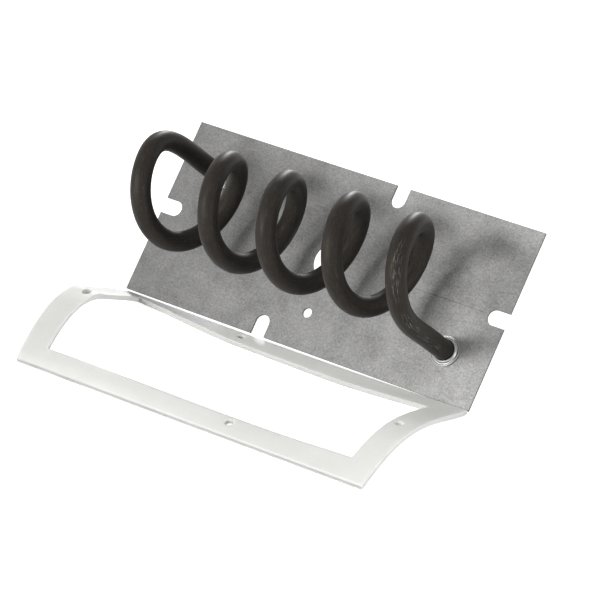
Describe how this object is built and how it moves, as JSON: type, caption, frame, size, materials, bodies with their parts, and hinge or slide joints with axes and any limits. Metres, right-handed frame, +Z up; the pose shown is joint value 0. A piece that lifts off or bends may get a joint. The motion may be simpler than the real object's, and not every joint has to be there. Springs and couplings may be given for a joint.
{
  "type": "air heater",
  "caption": "Tubular electric air heater: an open tube coil standing on a flat slotted mounting plate with terminal studs behind it, and its loose rubber gasket lying in front.",
  "frame": {"origin": "middle of the whole model's box on the surface that it lies on", "axes": "+X along the plate's long edge and the coil's axis, to the right seen from the coil's side; +Y from the gasket towards the plate; +Z up. The plate leans back by 43 degrees from upright"},
  "size_m": [0.191, 0.1452, 0.0854],
  "materials": {
    "plate_steel": "dull galvanised sheet",
    "sheath_steel": "dark oxidised satin",
    "bushing_steel": "zinc plated",
    "fastener_steel": "zinc plated",
    "seal_ceramic": "matt",
    "gasket_rubber": "matt"
  },
  "bodies": {
    "root": {"mounting_plate": "plate_steel", "heater_sheath": "sheath_steel", "left_bushing": "bushing_steel", "right_bushing": "bushing_steel", "bushing_washers": "fastener_steel", "bushing_nuts": "fastener_steel", "left_end_seal": "seal_ceramic", "right_end_seal": "seal_ceramic", "left_terminal_stud": "fastener_steel", "right_terminal_stud": "fastener_steel", "seal_nuts": "fastener_steel", "inner_washers": "fastener_steel", "outer_washers": "fastener_steel", "lock_washers": "fastener_steel", "terminal_nuts": "fastener_steel", "gasket": "gasket_rubber"}
  },
  "joints": []
}
